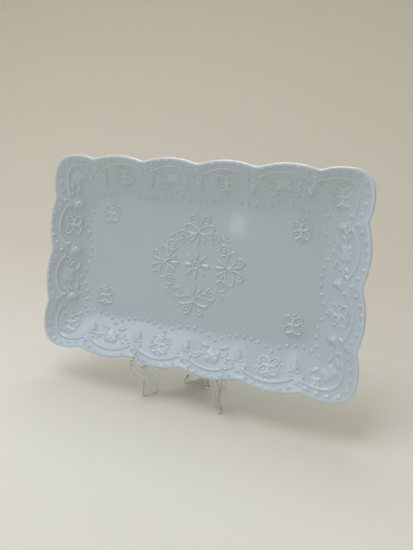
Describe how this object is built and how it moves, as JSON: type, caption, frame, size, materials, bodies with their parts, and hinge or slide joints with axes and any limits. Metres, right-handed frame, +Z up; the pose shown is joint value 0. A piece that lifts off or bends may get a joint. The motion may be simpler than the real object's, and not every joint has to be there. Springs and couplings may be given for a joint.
{
  "type": "serving platter on a folding easel",
  "caption": "Rectangular china serving platter with a scalloped, relief-moulded rim and flat well, leaning on a clear two-leaf folding easel that holds it upright for display",
  "frame": {"origin": "middle of the bounding box at table height, under the feet of the easel", "axes": "+Z up, the platter's face looks towards -Y and leans back, +X to the right seen from the front along the platter's long side"},
  "size_m": [0.305, 0.0704, 0.217],
  "materials": {
    "china": "glossy pale glaze",
    "clear_leaf": "clear moulded plastic",
    "clear_pin": "clear moulded plastic"
  },
  "bodies": {
    "pin_body": {"hinge_pin": "clear_pin"},
    "left_body": {"left_leaf": "clear_leaf"},
    "right_body": {"right_leaf": "clear_leaf"},
    "platter_body": {"platter": "china"}
  },
  "joints": [
    {"name": "platter_lift", "type": "slide", "parent": "pin_body", "child": "platter_body", "axis": [0, 0, 1], "range_m": [0, 0.12]},
    {"name": "left_fold", "type": "hinge", "parent": "pin_body", "child": "left_body", "pos_m": [0.0015, 0.02436, 0.04], "axis": [0, 0, 1], "range_deg": [0, 35]},
    {"name": "right_fold", "type": "hinge", "parent": "pin_body", "child": "right_body", "pos_m": [0.0015, 0.02436, 0.04], "axis": [0, 0, 1], "range_deg": [-35, 0]}
  ],
  "couplings": [
    {"joint": "left_fold", "follows": "platter_lift", "rad_per_m": 5.08},
    {"joint": "right_fold", "follows": "platter_lift", "rad_per_m": -5.08}
  ]
}
